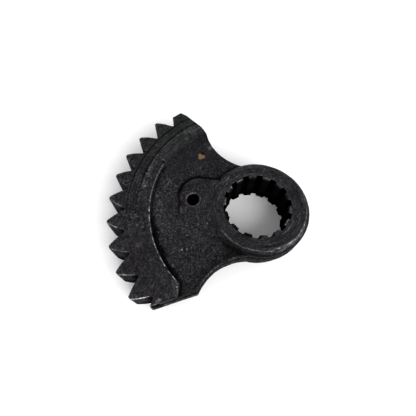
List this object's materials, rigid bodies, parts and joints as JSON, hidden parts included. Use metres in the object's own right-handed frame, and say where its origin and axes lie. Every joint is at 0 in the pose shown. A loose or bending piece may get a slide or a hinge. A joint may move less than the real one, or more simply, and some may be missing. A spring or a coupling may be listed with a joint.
{
  "type": "sector gear",
  "caption": "Forged steel sector gear: a fan of involute teeth on a thick rim, a thinner web with a spring hole, and a round hub with an internally splined bore.",
  "frame": {"origin": "on the axis of the splined bore, in the plane of the bottom face", "axes": "+Z along the bore axis, up through the hub's raised face; -X through the middle tooth"},
  "size_m": [0.0649, 0.0693, 0.0132],
  "materials": {
    "dark_steel": "satin"
  },
  "bodies": {
    "root": {"sector_gear": "dark_steel"}
  },
  "joints": []
}
